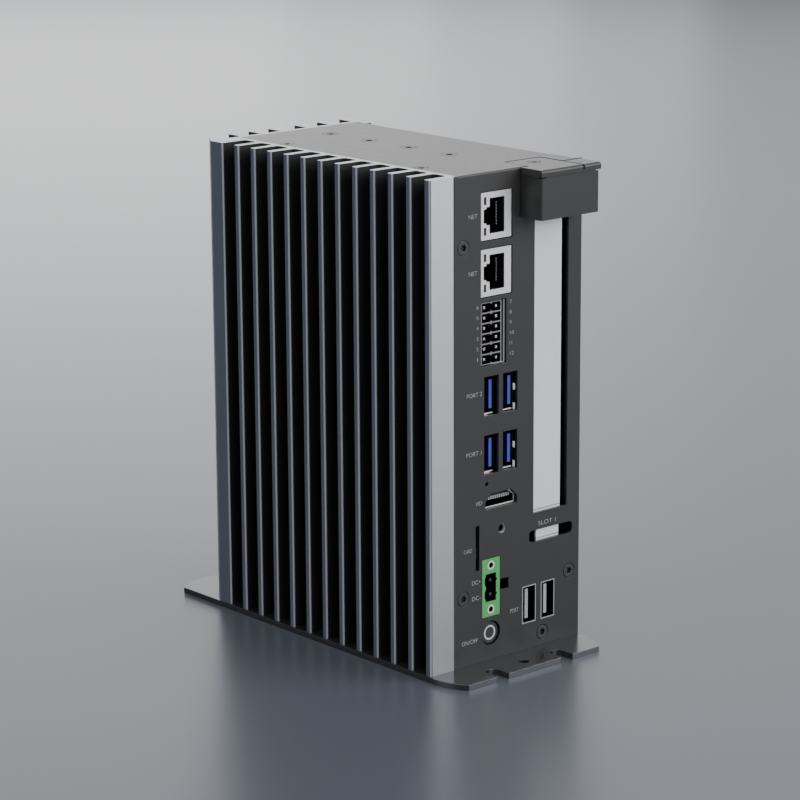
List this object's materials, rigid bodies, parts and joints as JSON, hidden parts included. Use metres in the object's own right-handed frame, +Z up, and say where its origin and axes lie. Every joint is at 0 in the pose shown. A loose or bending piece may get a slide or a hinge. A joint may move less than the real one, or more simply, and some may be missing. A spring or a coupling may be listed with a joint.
{
  "type": "fanless industrial computer",
  "caption": "Narrow upright fanless industrial computer with a finned heat sink, ports and an expansion slot on the front, on a slotted base plate.",
  "frame": {"origin": "middle of the base plate's underside", "axes": "+Z up, +X to the right seen from the front, +Y from the front panel to the rear fins"},
  "size_m": [0.07, 0.155, 0.1705],
  "materials": {
    "sink_black": "black anodised",
    "cover_grey": "fine textured paint",
    "plate_black": "gloss paint",
    "bright_steel": "plated",
    "screw_black": "blackened",
    "contact_gold": "plated",
    "board_green": "solder mask",
    "black_plastic": "moulded",
    "dark_plastic": "moulded",
    "green_plastic": "moulded",
    "blue_plastic": "moulded",
    "grey_plastic": "moulded",
    "light_window": "clear tinted",
    "chip_black": "moulded",
    "pad_grey": "soft",
    "plain_aluminium": "milled"
  },
  "bodies": {
    "root": {"heat_sink": "sink_black", "front_cover": "cover_grey", "side_cover": "cover_grey", "base_plate": "plate_black", "slot_cap": "cover_grey", "cap_shelf": "cover_grey", "slot_blank": "bright_steel", "cap_screw": "screw_black", "front_screws": "screw_black", "top_screws": "screw_black", "ledge_screws": "screw_black", "side_screws": "screw_black", "base_screws": "screw_black", "board_screws": "bright_steel", "top_rail": "plain_aluminium", "front_bracket": "bright_steel", "mainboard": "board_green", "board_standoffs": "contact_gold", "processor": "chip_black", "thermal_pad": "pad_grey", "heat_spreader": "plain_aluminium", "memory_socket": "black_plastic", "memory_module": "board_green", "drive_socket": "black_plastic", "solid_state_drive": "board_green", "coin_cell_holder": "black_plastic", "coin_cell": "bright_steel", "riser_board": "board_green", "riser_socket": "black_plastic", "card_slot": "black_plastic", "port_board": "board_green", "port_board_spacers": "bright_steel", "io_header": "black_plastic", "io_header_pins": "bright_steel", "video_shell": "bright_steel", "video_insulator": "grey_plastic", "lock_insert": "bright_steel", "sim_socket": "bright_steel", "power_header": "green_plastic", "power_header_pins": "bright_steel", "power_header_inserts": "bright_steel", "power_switch": "black_plastic", "usb2_insulator": "grey_plastic", "usb2_shell_1": "bright_steel", "usb2_shell_2": "bright_steel", "usb3_insulator_upper": "blue_plastic", "usb3_insulator_lower": "blue_plastic", "usb3_shell_1": "bright_steel", "usb3_shell_2": "bright_steel", "usb3_shell_3": "bright_steel", "usb3_shell_4": "bright_steel", "lan_shield_1": "bright_steel", "lan_insert_1": "black_plastic", "lan_lights_1": "light_window", "lan_contacts_1": "contact_gold", "lan_shield_2": "bright_steel", "lan_insert_2": "black_plastic", "lan_lights_2": "light_window", "lan_contacts_2": "contact_gold"},
    "button": {"power_button": "dark_plastic"}
  },
  "joints": [
    {"name": "power_button_press", "type": "slide", "parent": "root", "child": "button", "axis": [0, 1, 0], "range_m": [0, 0.001], "stiffness_N_per_m": 1200, "springref_m": -0.0004}
  ]
}
